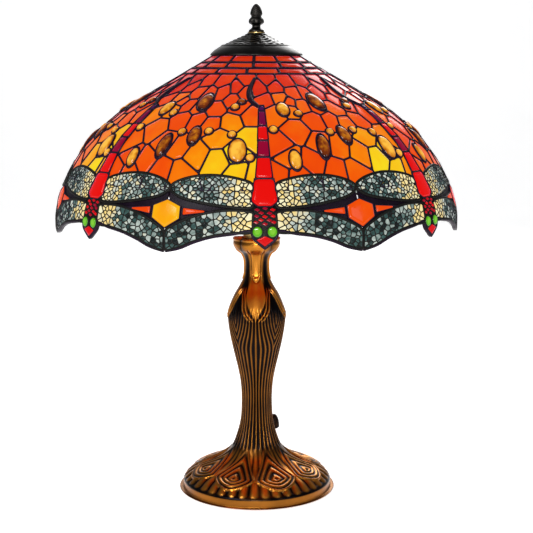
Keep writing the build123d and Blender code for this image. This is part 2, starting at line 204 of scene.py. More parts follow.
def noise_texture(tree, scale, detail=3.0, stretch=None):
    coordinates = tree.nodes.new("ShaderNodeTexCoord")
    texture = tree.nodes.new("ShaderNodeTexNoise")
    texture.inputs["Scale"].default_value = scale
    texture.inputs["Detail"].default_value = detail
    source = coordinates.outputs["Object"]
    if stretch:
        mapping = tree.nodes.new("ShaderNodeMapping")
        mapping.inputs["Scale"].default_value = stretch
        tree.links.new(source, mapping.inputs["Vector"])
        source = mapping.outputs["Vector"]
    tree.links.new(source, texture.inputs["Vector"])
    return texture.outputs["Fac"]


def colour_ramp(tree, factor, stops):
    node = tree.nodes.new("ShaderNodeValToRGB")
    band = node.color_ramp
    while len(band.elements) < len(stops):
        band.elements.new(0.5)
    for element, (place, colour) in zip(band.elements, stops):
        element.position = place
        element.color = (*colour, 1.0)
    tree.links.new(factor, node.inputs["Fac"])
    return node.outputs["Color"]


def math_node(tree, operation, a, b):
    node = tree.nodes.new("ShaderNodeMath")
    node.operation = operation
    for socket, value in zip(node.inputs, (a, b)):
        if isinstance(value, (int, float)):
            socket.default_value = value
        else:
            tree.links.new(value, socket)
    return node.outputs["Value"]


def add_bump(tree, shader, height, strength, distance):
    node = tree.nodes.new("ShaderNodeBump")
    node.inputs["Strength"].default_value = strength
    node.inputs["Distance"].default_value = distance
    tree.links.new(height, node.inputs["Height"])
    tree.links.new(node.outputs["Normal"], shader.inputs["Normal"])


def tone_of(tree):
    node = tree.nodes.new("ShaderNodeAttribute")
    node.attribute_name = "tone"
    return node.outputs["Fac"]


# Lit glass shows its own light far more than the room's.
BODY_SHARE = 0.05


VIOLET = (0.80, 0.45, 1.0, 1.0)


def lit_glass(
    name, stops, glow, streak=0.25, scale=45.0, coat=0.08, stretch=(1.0, 1.0, 0.35), sheen=0.1
):
    """Art glass lit from behind, its light painted in as a glow: its colour follows each pane's
    tone, streaked by noise.
    """
    material, tree, shader = new_material(name)
    streaks = noise_texture(tree, scale, 4.0, stretch)
    centred = math_node(tree, "MULTIPLY", math_node(tree, "SUBTRACT", streaks, 0.5), streak)
    mixed = math_node(tree, "ADD", tone_of(tree), centred)
    colour = colour_ramp(tree, mixed, stops)
    deep = [(place, tuple(BODY_SHARE * part for part in shade)) for place, shade in stops]
    tree.links.new(colour_ramp(tree, mixed, deep), shader.inputs["Base Color"])
    tree.links.new(colour, shader.inputs["Emission Color"])
    shader.inputs["Emission Strength"].default_value = glow
    shader.inputs["Roughness"].default_value = 0.2
    shader.inputs["Specular IOR Level"].default_value = 0.1
    shader.inputs["Coat Weight"].default_value = coat
    shader.inputs["Coat Roughness"].default_value = 0.08
    shader.inputs["Sheen Weight"].default_value = sheen
    shader.inputs["Sheen Roughness"].default_value = 0.25
    shader.inputs["Sheen Tint"].default_value = VIOLET
    add_bump(tree, shader, noise_texture(tree, 160.0, 2.0), 0.2, 0.0004)
    return material


def metal(
    name, dark, light, roughness, scale=60.0, bump=0.2, metallic=1.0, by_tone=True, gloss=0.2
):
    """A solid surface: dark in the hollows, light where it is rubbed."""
    material, tree, shader = new_material(name)
    patches = noise_texture(tree, scale, 5.0)
    factor = patches
    if by_tone:
        factor = math_node(tree, "ADD", tone_of(tree), math_node(tree, "MULTIPLY", patches, 0.4))
    colour = colour_ramp(tree, factor, [(0.35, dark), (1.0, light)])
    tree.links.new(colour, shader.inputs["Base Color"])
    shader.inputs["Metallic"].default_value = metallic
    shader.inputs["Specular IOR Level"].default_value = gloss
    rough = math_node(tree, "ADD", math_node(tree, "MULTIPLY", patches, 0.25), roughness - 0.12)
    tree.links.new(rough, shader.inputs["Roughness"])
    add_bump(tree, shader, noise_texture(tree, 6 * scale, 3.0), bump, 0.0004)
    return material


FIELD_STOPS = [
    (0.0, (0.50, 0.008, 0.006)),
    (0.25, (0.78, 0.03, 0.002)),
    (0.5, (0.93, 0.085, 0.0)),
    (0.75, (1.0, 0.26, 0.0)),
    (1.0, (1.0, 0.74, 0.01)),
]
field_glass = lit_glass("field_glass", FIELD_STOPS, 0.9, sheen=0.12)
brick_glass = lit_glass("brick_glass", FIELD_STOPS, 0.72, streak=0.3, scale=25.0, sheen=0.2)
RED_STOPS = [
    (0.0, (0.06, 0.003, 0.10)),
    (0.3, (0.22, 0.0, 0.05)),
    (0.6, (0.55, 0.0, 0.012)),
    (1.0, (1.0, 0.004, 0.002)),
]
red_glass = lit_glass("red_glass", RED_STOPS, 0.75, streak=0.1)
EYE_STOPS = [(0.0, (0.02, 0.12, 0.0)), (0.6, (0.14, 0.60, 0.0)), (1.0, (0.6, 1.0, 0.15))]
eye_glass = lit_glass("eye_glass", EYE_STOPS, 0.8, coat=0.8)
JEWEL_STOPS = [
    (0.0, (0.03, 0.002, 0.0)),
    (0.3, (0.20, 0.03, 0.0)),
    (0.6, (0.62, 0.20, 0.003)),
    (1.0, (1.0, 0.52, 0.05)),
]
jewel_glass = lit_glass(
    "jewel_glass", JEWEL_STOPS, 1.0, streak=1.1, scale=150.0, coat=0.4, stretch=(1.0, 1.0, 0.6)
)
WING_STOPS = [
    (0.0, (0.01, 0.015, 0.015)),
    (0.2, (0.06, 0.13, 0.12)),
    (0.45, (0.60, 0.68, 0.62)),
    (0.7, (1.0, 0.74, 0.24)),
    (1.0, (1.0, 0.95, 0.62)),
]
wing_glass = lit_glass(
    "wing_glass", WING_STOPS, 0.9, streak=0.5, scale=120.0, coat=0.1, stretch=(1.0, 1.0, 1.4)
)
BULB_STOPS = [(0.0, (1.0, 0.78, 0.46)), (1.0, (1.0, 0.90, 0.66))]
bulb_glass = lit_glass("bulb_glass", BULB_STOPS, 4.0)

lead = metal(
    "lead", (0.003, 0.001, 0.004), (0.016, 0.008, 0.020), 0.34, 90.0, 0.4, metallic=0.0, gloss=0.07
)
filigree_metal = metal(
    "filigree", (0.003, 0.003, 0.003), (0.014, 0.013, 0.011), 0.4, 120.0, 0.3,
    metallic=0.0, gloss=0.07,
)
bronze = metal("bronze", (0.006, 0.005, 0.006), (0.48, 0.18, 0.022), 0.31, 38.0, 0.3)
dark_bronze = metal("dark_bronze", (0.008, 0.008, 0.008), (0.055, 0.05, 0.045), 0.34, 70.0, 0.35)


def even(name, dark, light, roughness, scale, bump, metallic):
    """A surface whose colour varies only with its noise."""
    return metal(name, dark, light, roughness, scale, bump, metallic, by_tone=False)


brass = even("brass", (0.35, 0.22, 0.07), (0.80, 0.58, 0.24), 0.3, 60.0, 0.15, 1.0)
steel = even("steel", (0.35, 0.35, 0.36), (0.68, 0.68, 0.70), 0.35, 80.0, 0.15, 1.0)
iron = even("iron", (0.06, 0.06, 0.06), (0.18, 0.17, 0.17), 0.6, 50.0, 0.5, 0.8)
felt = even("felt", (0.010, 0.045, 0.02), (0.03, 0.11, 0.05), 0.95, 300.0, 0.8, 0.0)
rubber = even("rubber", (0.01, 0.01, 0.01), (0.03, 0.03, 0.03), 0.6, 120.0, 0.3, 0.0)
phenolic = even("phenolic", (0.012, 0.008, 0.006), (0.04, 0.03, 0.025), 0.4, 90.0, 0.2, 0.0)
wire_cover = even("wire_cover", (0.35, 0.22, 0.06), (0.55, 0.38, 0.14), 0.5, 90.0, 0.2, 0.0)


# ---- Mosaic geometry, in flat millimetres ----
def clipped(polygon, px, py, nx, ny):
    """The part of a polygon on the side of a line through (px, py) that its normal leaves."""
    result = []
    for (ax, ay), (bx, by) in zip(polygon, polygon[1:] + polygon[:1]):
        da = (ax - px) * nx + (ay - py) * ny
        db = (bx - px) * nx + (by - py) * ny
        if da <= 0:
            result.append((ax, ay))
        if (da < 0 < db) or (db < 0 < da):
            share = da / (da - db)
            result.append((ax + share * (bx - ax), ay + share * (by - ay)))
    return result


def nearest_cell(outline, seed, others, reach):
    """The part of the outline that is nearer this seed than the others within reach."""
    polygon = list(outline)
    for other in others:
        dx, dy = other[0] - seed[0], other[1] - seed[1]
        if 0 < math.hypot(dx, dy) < reach and polygon:
            polygon = clipped(polygon, (seed[0] + other[0]) / 2, (seed[1] + other[1]) / 2, dx, dy)
    return polygon


def area_of(polygon):
    pairs = zip(polygon, polygon[1:] + polygon[:1])
    return 0.5 * sum(ax * by - bx * ay for (ax, ay), (bx, by) in pairs)


def tidied(polygon, least=0.6):
    """The polygon turned anticlockwise and without very short sides."""
    if area_of(polygon) < 0:
        polygon = polygon[::-1]
    kept = []
    for point in polygon:
        if not kept or math.dist(kept[-1], point) > least:
            kept.append(point)
    if len(kept) > 1 and math.dist(kept[0], kept[-1]) <= least:
        kept.pop()
    return kept


def normals_of(polygon):
    """The outward normal of each side of an anticlockwise polygon."""
    found = []
    for (ax, ay), (bx, by) in zip(polygon, polygon[1:] + polygon[:1]):
        length = math.hypot(bx - ax, by - ay)
        found.append(((by - ay) / length, (ax - bx) / length))
    return found


def rounded_inside(polygon, border, corner, steps):
    """(inner, outer): a rounded outline inside the polygon, and matching points on its edge."""
    core = list(polygon)
    sides = list(zip(polygon, normals_of(polygon)))
    for (px, py), (nx, ny) in sides:
        core = clipped(core, px - (border + corner) * nx, py - (border + corner) * ny, nx, ny)
        if len(core) < 3:
            return None
    core = tidied(core, 0.15)
    if len(core) < 3 or area_of(core) < 0.5:
        return None
    cx = sum(p[0] for p in core) / len(core)
    cy = sum(p[1] for p in core) / len(core)
    inner = []
    bends = normals_of(core)
    for i, (px, py) in enumerate(core):
        before, after = bends[i - 1], bends[i]
        start = math.atan2(before[1], before[0])
        sweep = (math.atan2(after[1], after[0]) - start) % (2 * math.pi)
        for k in range(steps + 1):
            turn = start + sweep * k / steps
            inner.append((px + corner * math.cos(turn), py + corner * math.sin(turn)))
    outer = [edge_point(polygon, cx, cy, point) for point in inner]
    for point in polygon:
        nearest = min(range(len(outer)), key=lambda i: math.dist(outer[i], point))
        outer[nearest] = point
    return inner, outer


def edge_point(polygon, cx, cy, through):
    """Where the ray from the centre through a point leaves the polygon."""
    dx, dy = through[0] - cx, through[1] - cy
    best = 1e9
    for (ax, ay), (bx, by) in zip(polygon, polygon[1:] + polygon[:1]):
        ex, ey = bx - ax, by - ay
        cross = dx * ey - dy * ex
        if abs(cross) > 1e-9:
            along = ((ax - cx) * ey - (ay - cy) * ex) / cross
            side = ((ax - cx) * dy - (ay - cy) * dx) / cross
            if along > 0 and -1e-6 <= side <= 1 + 1e-6:
                best = min(best, along)
    return (cx + best * dx, cy + best * dy)


def to_flat(points, middle):
    """(azimuth, down) points as millimetres across and up from the middle."""
    scale = mm_per_degree(middle[1])
    return [((a - middle[0]) * scale, middle[1] - d) for a, d in points]


def to_shade(points, middle, turn, rise):
    """Flat points round the middle, back on the shade."""
    scale = mm_per_degree(middle[1])
    return [on_shade(turn + middle[0] + x / scale, middle[1] - y, rise) for x, y in points]


class Cell:
    """A pane outline in (azimuth, down), worked out flat once and placed on every sector."""

    def __init__(self, outline, border=2.2, corner=3.0, steps=2):
        low, high = min(p[1] for p in outline), max(p[1] for p in outline)
        left, right = min(p[0] for p in outline), max(p[0] for p in outline)
        self.middle = ((left + right) / 2, (low + high) / 2)
        polygon = tidied(to_flat(outline, self.middle))
        loops = rounded_inside(polygon, border, corner, steps) if len(polygon) > 2 else None
        if loops is None and len(polygon) > 2:
            loops = rounded_inside(polygon, border * 0.6, corner * 0.3, steps)
        self.inner, self.outer = loops if loops else (None, None)

    def place(self, points, turn, rise):
        return to_shade(points, self.middle, turn, rise)

    def on_side(self, side):
        made = copy.copy(self)
        made.middle = (side * self.middle[0], self.middle[1])
        made.inner = [(side * x, y) for x, y in self.inner]
        made.outer = [(side * x, y) for x, y in self.outer]
        return made

    def shrunk(self, share):
        cx = sum(p[0] for p in self.inner) / len(self.inner)
        cy = sum(p[1] for p in self.inner) / len(self.inner)
        return [(cx + share * (x - cx), cy + share * (y - cy)) for x, y in self.inner]


# The lap under the came, and the dome: (share across, share of bulge).
PANE_LAP = 1.04
DOME = ((0.75, 0.55), (0.4, 0.9))


def add_pane(piece, cell, turn, tone, bulge=0.4, base=-0.5, thickness=2.2):
    """One piece of glass with a slightly domed face."""
    if not cell.inner:
        return
    wide = cell.shrunk(PANE_LAP)
    foot = piece.add(cell.place(wide, turn, base - thickness), tone)
    edge = piece.add(cell.place(wide, turn, base), tone)
    piece.faces.append(tuple(reversed(foot)))
    piece.bridge(foot, edge)
    last = edge
    for share, lift in DOME:
        loop = piece.add(cell.place(cell.shrunk(share), turn, base + lift * bulge), tone)
        piece.bridge(last, loop)
        last = loop
    piece.faces.append(tuple(last))


def add_came(piece, cell, turn, crest=0.9, seat=-0.6, back=-2.6, back_crest=-3.7):
    """Half of the came round a pane: a ridge on the outline that slopes to the glass."""
    if not cell.inner:
        return
    mid = [((a + 2 * c) / 3, (b + 2 * d) / 3) for (a, b), (c, d) in zip(cell.inner, cell.outer)]
    loops = [
        piece.add(cell.place(cell.outer, turn, crest), 0.75),
        piece.add(cell.place(mid, turn, crest * 0.86), 0.7),
        piece.add(cell.place(cell.inner, turn, seat), 0.2),
        piece.add(cell.place(cell.inner, turn, back), 0.2),
        piece.add(cell.place(cell.outer, turn, back_crest), 0.5),
    ]
    for one, other in zip(loops, loops[1:] + loops[:1]):
        piece.bridge(one, other)


# ---- The mosaic of one sector: (degrees from the dragonfly, down) of each pane's middle ----
FIELD_SEEDS = (
    (5.5, 53), (16.4, 59), (28.5, 58), (42.0, 56), (50.4, 79),
    (9.0, 75), (17.2, 88), (38.6, 74), (31.5, 85), (43.4, 87),
    (1.6, 103), (9.6, 98), (38.4, 103), (24.6, 92),
    (32.4, 123), (47.4, 133), (5.2, 130), (18.0, 115), (20.0, 142), (27.1, 142),
    (32.6, 149), (40.0, 145), (11.7, 160), (24.6, 118), (12.2, 121),
    (37.0, 171), (47.3, 172), (4.6, 181), (24.6, 186), (31.0, 196), (37.8, 203),
    (14.6, 205), (21.6, 216), (7.4, 200), (4.2, 219), (9.6, 222), (44.4, 219), (48.6, 222),
    (27.0, 217), (18.8, 180), (43.2, 192), (42.0, 117), (13.0, 108),
)
# The seeds lie flat at one pitch, in millimetres a degree, each in a box.
PITCH = 3.9
BOX_REACH = 75
SEED_REACH = 140
FIELD_BORDER, FIELD_CORNER = 1.45, 2.2


def field_cells():
    seeds = [(a * PITCH, d) for a, d in FIELD_SEEDS]
    period = SECTOR * PITCH
    around = [(x + k * period, d) for x, d in seeds for k in (-1, 0, 1)]
    cells = []
    for x, d in seeds:
        left, right, top = x - BOX_REACH, x + BOX_REACH, ROW_ENDS[-1]
        box = [(left, top), (right, top), (right, FIELD_FLOOR), (left, FIELD_FLOOR)]
        outline = nearest_cell(box, (x, d), around, SEED_REACH)
        on_glass = [(px / PITCH, py) for px, py in outline]
        cells.append(Cell(on_glass, FIELD_BORDER, FIELD_CORNER))
    return cells


def pane_colour_and_glow(azimuth, down, spread):
    """How yellow and bright a pane is: partly its own colour, reddest at the top, and partly a
    painted glow of the bulbs, most over the bulbs and low on the shade and brighter on the panes
    that face the front.
    """
    base = 0.20 + 0.30 * ramp(down, 40, 150)
    turn = (azimuth - FRONT_TURN) % SECTOR
    lobe = bump_of(turn, 42.0, 19.0) * bump_of(down, 205.0, 90.0)
    second = bump_of(turn, 10.0, 14.0) * bump_of(down, 115.0, 60.0)
    # Painted light: panes that face the front get a brighter glow.
    front_glow = 0.6 + 0.4 * math.cos(math.radians(azimuth + 12))
    value = base + (0.55 * lobe + 0.25 * second) * front_glow + rng.uniform(-spread, spread)
    return clamp(value, 0.02, 0.98)


came = Piece("lead_came", "lead", "shade")
field_names = ("field_glass_upper", "field_glass_middle", "field_glass_lower")
field_pieces = [Piece(name, "glass_field", "shade") for name in field_names]
for cell in field_cells():
    for k in range(DRAGONFLIES):
        turn = FRONT_TURN + k * SECTOR
        down = cell.middle[1]
        piece = field_pieces[bisect.bisect(FIELD_ENDS, down)]
        add_pane(piece, cell, turn, pane_colour_and_glow(turn + cell.middle[0], down, 0.09), 0.2)
        add_came(came, cell, turn)
for piece in field_pieces:
    piece.build(field_glass)

# The three brick rows: the first two line up and the third is stepped back.
BRICK_STEPS = (-4.8, -4.8, -9.6)
for row, (top, bottom) in enumerate(zip((0.0, *ROW_ENDS[:2]), ROW_ENDS)):
    name = f"brick_glass_row_{row + 1}"
    piece = Piece(name, "glass_brick", "shade")
    upper = [(BRICK * i / 4, top) for i in range(5)]
    lower = [(BRICK * i / 4, bottom) for i in range(4, -1, -1)]
    cell = Cell(upper + lower, corner=1.2)
    for i in range(2 * DRAGONFLIES):
        turn = FRONT_TURN + BRICK_STEPS[row] + i * BRICK
        add_pane(piece, cell, turn, clamp(0.27 + rng.uniform(-0.12, 0.12)), 0.2)
        add_came(came, cell, turn)
    piece.build(brick_glass)


# ---- Raised strips of came along a line of (azimuth, down) points ----
def add_strip(piece, line, width, crest, foot, turn=0.0, tone=0.5, closed=False):
    """A rounded bar along a line, standing from foot to crest; width may depend on the share."""
    count = len(line)
    rings = []
    for i, (azimuth, down) in enumerate(line):
        before = line[i - 1] if i or closed else line[i]
        after = line[(i + 1) % count] if i + 1 < count or closed else line[i]
        scale = mm_per_degree(down)
        dx, dy = (after[0] - before[0]) * scale, after[1] - before[1]
        length = math.hypot(dx, dy) or 1.0
        half = width / 2 if not callable(width) else width(i / max(count - 1, 1)) / 2
        nx, ny = dy / length / scale, -dx / length
        profile = ((-1.0, foot), (-0.95, 0.45 * crest), (-0.5, 0.9 * crest), (0.0, crest),
                   (0.5, 0.9 * crest), (0.95, 0.45 * crest), (1.0, foot))
        points = [
            on_shade(turn + azimuth + nx * half * k, down + ny * half * k, rise)
            for k, rise in profile
        ]
        rings.append(piece.add(points, tone))
    for one, other in zip(rings, rings[1:]):
        piece.bridge(one, other)
    if closed:
        piece.bridge(rings[-1], rings[0])
    else:
        piece.faces.append(tuple(rings[0]))
        piece.faces.append(tuple(reversed(rings[-1])))


# ---- Jewels ----
# Ovals: (degrees from the dragonfly, down, width, height, lean, tone).
LARGE_JEWELS = (
    (25.9, 107, 17, 34, 3, 0.18), (19.1, 184, 14, 32, -4, 0.22), (28.5, 168, 14, 27, 2, 0.25),
    (43.6, 189, 19, 31, 3, 0.72), (8.8, 122, 14, 25, 0, 0.62), (9.3, 202, 13, 24, 3, 0.68),
)
# Round ones: (degrees from the dragonfly, down, tone).
SMALL_JEWELS = (
    (40.4, 118, 0.7), (42.8, 107, 0.35), (14.5, 131, 0.75), (3.7, 158, 0.8), (23.5, 163, 0.7),
    (33.1, 161, 0.72), (41.3, 166, 0.78), (47.5, 199, 0.85),
)
SMALL_JEWEL = 9.0


def add_jewel(piece, ring, turn, place, size, lean, tone, rise=3.2):
    """A pressed cabochon with a shallow rim, and the came round it."""
    azimuth, down = place
    scale = mm_per_degree(down)
    count = 28
    lean = math.radians(lean)

    def loop(share, height, target, shade_tone):
        points = []
        for i in range(count):
            angle = 2 * math.pi * i / count
            x = share * size[0] / 2 * math.cos(angle)
            y = share * size[1] / 2 * math.sin(angle)
            rx = x * math.cos(lean) - y * math.sin(lean)
            ry = x * math.sin(lean) + y * math.cos(lean)
            points.append(on_shade(turn + azimuth + rx / scale, down - ry, height))
        return target.add(points, shade_tone)

    dome = [(1.0, -2.6), (1.0, 0.6), (0.94, 1.5), (0.8, 2.3), (0.6, 2.9), (0.35, rise)]
    # Painted light: each stone is brighter in its middle and darker at its rim, standing in for the
    # light shining through it.
    rings = [loop(share, height, piece, tone + 0.22 - 0.5 * share ** 4) for share, height in dome]
    for one, other in zip(rings, rings[1:]):
        piece.bridge(one, other)
    piece.faces.append(tuple(reversed(rings[0])))
    piece.faces.append(tuple(rings[-1]))
    grow = 1 + 3.4 / size[0]
    bands = [(grow, -0.8), (grow, 0.5), ((grow + 1) / 2, 1.6), (1.0, 1.2), (0.97, -0.8)]
    hoops = [loop(share, height, ring, 0.55) for share, height in bands]
    for one, other in zip(hoops, hoops[1:] + hoops[:1]):
        ring.bridge(one, other)


large = Piece("large_jewels", "glass_jewel_dark", "shade")
small = Piece("small_jewels", "glass_jewel_gold", "shade")
for k in range(DRAGONFLIES):
    turn = FRONT_TURN + k * SECTOR
    for azimuth, down, width, height, lean, tone in LARGE_JEWELS:
        add_jewel(large, came, turn, (azimuth, down), (width, height), lean, tone)
    for azimuth, down, tone in SMALL_JEWELS:
        size = (SMALL_JEWEL, SMALL_JEWEL * rng.uniform(1.0, 1.2))
        add_jewel(small, came, turn, (azimuth, down), size, 0, tone - 0.1, 3.0)
large.build(jewel_glass)
small.build(jewel_glass)

# ---- Dragonfly bodies ----
# The tail's pieces: (top, bottom, width at the top, width at the bottom, tone).
TAIL = (
    (117, 127, 1.7, 2.2, 0.03), (128, 151, 2.2, 2.6, 0.28), (154, 174, 2.7, 3.0, 0.95),
    (177, 197, 2.8, 3.2, 0.42), (200, 224, 3.2, 4.2, 0.98),
)
THORAX_TONE = 1.0
TAIL_RISE = 1.2


def body_outline(top, bottom, top_width, bottom_width, round_end=0.0):
    """A segment of the body: widths are in degrees and the end may be rounded."""
    half_top, half_bottom = top_width / 2, bottom_width / 2
    left = [(-half_top, top), (-half_bottom, bottom - round_end)]
    right = [(half_bottom, bottom - round_end), (half_top, top)]
    end = [(-half_bottom * 0.5, bottom), (half_bottom * 0.5, bottom)] if round_end else []
    return left + end + right


tails = Piece("dragonfly_tails", "glass_red", "shade")
thoraxes = Piece("dragonfly_thoraxes", "glass_red", "shade")
heads = Piece("dragonfly_heads", "glass_red", "shade")
eyes = Piece("dragonfly_eyes", "glass_eye", "shade")
net = Piece("thorax_filigree", "filigree", "shade")
FEELER = smooth_line([(-3.2, 55), (-5.2, 72), (-5.8, 88), (-4.6, 103), (-2.2, 113), (-0.4, 119)], 6)
EYE_TURN, EYE_DOWN, EYE_RADIUS = 1.85, 285.0, 5.2
KITE = [(0.0, 300.5), (-2.1, 293.6), (0.0, 289.5), (2.1, 293.6)]
PLATE = [(-3.1, 256), (3.1, 256), (3.2, 270), (3.5, 284), (2.9, 292), (0.0, 304.0),
         (-2.9, 292), (-3.5, 284), (-3.2, 270)]
BITS = [(-1.9, 261), (0.1, 259.5), (2.0, 261), (-0.9, 264.5), (1.2, 264.8), (-2.1, 268),
        (0.0, 268.6), (2.1, 268), (-1.0, 272.2), (1.1, 272.4), (0.0, 276.5), (-2.2, 274.6),
        (2.2, 274.6)]
BIT = ((-0.75, 0), (-0.1, -1.9), (0.75, -0.2), (0.2, 1.8))
BODY_CAME = (TAIL_RISE - 0.4, -1.0, -2.0)
tail_cells = [
    (Cell(body_outline(top - 1.4, bottom + 1.4, wide + 0.9, wider + 0.9), 1.7, 1.5), tone)
    for top, bottom, wide, wider, tone in TAIL
]
thorax_cell = Cell(body_outline(225, 258, 5.6, 7.2, 6.0), 1.8, 4.5, 4)
plate_cell = Cell(PLATE, 0.3, 0.8, 1)
bit_cells = [Cell([(a + x, d + y) for x, y in BIT], 0.05, 0.25, 1) for a, d in BITS]
kite_cell = Cell(KITE, 0.2, 0.4, 1)
for k in range(DRAGONFLIES):
    turn = FRONT_TURN + k * SECTOR
    add_strip(came, FEELER, lambda t: 4.0 + 3.0 * math.sin(math.pi * t), 2.2, -0.8, turn)
    for cell, tone in tail_cells:
        add_pane(tails, cell, turn, tone, 0.8, TAIL_RISE)
        add_came(came, cell, turn, TAIL_RISE + 1.0, *BODY_CAME)
    add_pane(thoraxes, thorax_cell, turn, THORAX_TONE, 1.2, TAIL_RISE, 4.6)
    add_came(came, thorax_cell, turn, TAIL_RISE + 0.9, *BODY_CAME)
    add_pane(net, plate_cell, turn, 0.3, 0.0, 0.7, 2.6)
    for cell in bit_cells:
        add_pane(heads, cell, turn, rng.uniform(0.45, 0.95), 0.1, 1.0, 1.2)
    add_pane(heads, kite_cell, turn, 0.9, 0.5, 1.1, 1.4)
    for side in (-1, 1):
        size = (2 * EYE_RADIUS, 2 * EYE_RADIUS * 1.1)
        add_jewel(eyes, net, turn, (side * EYE_TURN, EYE_DOWN), size, 0, 0.5, 2.4)
tails.build(red_glass)
thoraxes.build(red_glass)
heads.build(red_glass)
eyes.build(eye_glass)

# ---- Wings ----
UPPER_WING = smooth_line([
    (2.7, 243), (3.2, 231), (7, 225), (12, 221.5), (17, 221.5), (22, 226), (25.2, 233),
    (25.3, 240), (22.5, 247.5), (17, 253), (10, 257.5), (4, 259), (2.8, 254),
], 4)
LOWER_WING = smooth_line([
    (2.9, 271), (3.2, 263.5), (8, 261.5), (13, 263.5), (18, 269), (22.5, 277.5), (25.4, 286),
    (25.65, 298), (25.2, 307.5), (21.5, 303.5), (17.5, 296), (13, 290), (8, 286.5), (3.6, 285.5),
    (2.9, 280),
], 4)
HEXAGON_SHAPE = ((0, 250.5), (4.0, 258), (4.0, 272.5), (0, 283.5), (-4.0, 272.5), (-4.0, 258))
HEXAGON = [(SECTOR / 2 + a, d) for a, d in HEXAGON_SHAPE]
SLIVER_SHAPE = ((4.6, 259.5), (13.5, 263.2), (4.6, 268.5))
SLIVERS = [[(SECTOR / 2 + side * a, d) for a, d in SLIVER_SHAPE] for side in (-1, 1)]
WING_RISE = 0.7
# This thick, the glass passes through the lead sheet behind it.
THROUGH = 3.6
WING_DOWN = 260
LEAST_CELL = 2.0


def inside(polygon, x, y):
    found = False
    for (ax, ay), (bx, by) in zip(polygon, polygon[1:] + polygon[:1]):
        if (ay > y) != (by > y) and x < (bx - ax) * (y - ay) / (by - ay) + ax:
            found = not found
    return found


def wing_cells(outline, row_height, short, slant):
    """The cells of one wing: staggered rows, with a longer cell where a seed is left out."""
    scale = mm_per_degree(WING_DOWN)
    flat = [(a * scale, d) for a, d in outline]
    top, bottom = min(p[1] for p in flat), max(p[1] for p in flat)
    left, right = min(p[0] for p in flat), max(p[0] for p in flat)
    seeds = []
    for x_step in range(int((right - left) / short) + 2):
        for y_step in range(int((bottom - top) / row_height) + 2):
            x = left + short * (x_step + 0.5 * (y_step % 2)) + rng.uniform(-0.3, 0.3) * short
            y = top + row_height * (y_step + rng.uniform(-0.22, 0.22))
            y += slant * (x - left)
            if inside(flat, x, y) and not (y_step % 2 and x_step % 3 == 0):
                seeds.append((x, y))
    cells = []
    for seed in seeds:
        stretched = nearest_cell(flat, seed, seeds, 4 * short)
        if len(stretched) > 2 and abs(area_of(stretched)) > LEAST_CELL:
            cells.append(Cell([(x / scale, y) for x, y in stretched], 0.62, 0.5, 1))
    return [cell for cell in cells if cell.inner]


# (name, outline, height of a row, length of a cell, slant of the rows).
wing_specs = (
    ("upper_wing", UPPER_WING, 3.7, 6.0, 0.04),
    ("lower_wing", LOWER_WING, 3.7, 6.6, 0.16),
)
for name, outline, row_height, length, slant in wing_specs:
    glass = Piece(f"{name}_glass", "glass_wing", "shade")
    mesh_net = Piece(f"{name}_filigree", "filigree", "shade")
    cells = wing_cells(outline, row_height, length, slant)
    dimmer = 0.1 if name == "lower_wing" else 0.0
    for k in range(DRAGONFLIES):
        turn = FRONT_TURN + k * SECTOR
        for side in (-1, 1):
            for cell in cells:
                made = cell.on_side(side)
                # Cells near the body are lighter, and a painted glow makes them brighter still on
                # the sectors that face the front.
                near = bump_of(made.middle[0], 0, 15.0)
                front_glow = 0.5 + 0.5 * math.cos(math.radians(turn))
                tone = 0.30 + 0.80 * near * (0.3 + 0.7 * front_glow)
                tone = clamp(tone + rng.uniform(-0.24, 0.24) - dimmer)
                add_pane(glass, made, turn, tone, 0.15, WING_RISE - 0.5, THROUGH)
                add_came(mesh_net, made, turn, WING_RISE, WING_RISE - 0.25, -1.6, -1.9)
            border = [(side * a, d) for a, d in outline]
            add_strip(mesh_net, border, 3.4, WING_RISE + 0.45, -1.5, turn, 0.4, True)
    glass.build(wing_glass)
    mesh_net.build(filigree_metal)

hexagons = Piece("gap_hexagons", "glass_hexagon", "shade")
backing = Piece("wing_gap_came", "lead", "shade", has_node=False)
for k in range(DRAGONFLIES):
    turn = FRONT_TURN + k * SECTOR
    tone = 0.55 + 0.30 * math.cos(math.radians(2 * (turn + 49)))
    for outline, border in ((HEXAGON, 1.4), *((sliver, 0.9) for sliver in SLIVERS)):
        cell = Cell(outline, border, 0.8, 2)
        share = tone if outline is HEXAGON else 0.4
        add_pane(hexagons, cell, turn, clamp(share), 0.6, 0.6, THROUGH + 0.4)
        add_came(came, cell, turn, 1.2, 0.3)
hexagons.build(field_glass)

# The lead sheet that fills the joints between wings, bodies and hexagons.
RIM = smooth_line([
    (0.0, 303.0), (2.6, 293), (3.8, 284.5), (8, 287.5), (13, 291), (17.5, 297), (21.5, 304.5),
    (25.4, 308.6),
], 5)
BACKING_TOP = FIELD_FLOOR - 6
BACKING_FRONT, BACKING_BACK = -0.9, -2.9
BACKING_ROWS = 8
RIM_LAP = 0.6
rim_half = [p for p in RIM if p[0] <= SECTOR / 2]
rim_line = [(-a, d) for a, d in reversed(rim_half[1:])] + rim_half


def backing_row(turn, share, rise):
    """One row of the sheet, this share of the way from its top to the rim."""
    points = []
    for azimuth, rim in rim_line:
        down = BACKING_TOP + share * (rim - RIM_LAP - BACKING_TOP)
        points.append(on_shade(turn + azimuth, down, rise))
    return backing.add(points, 0.3)


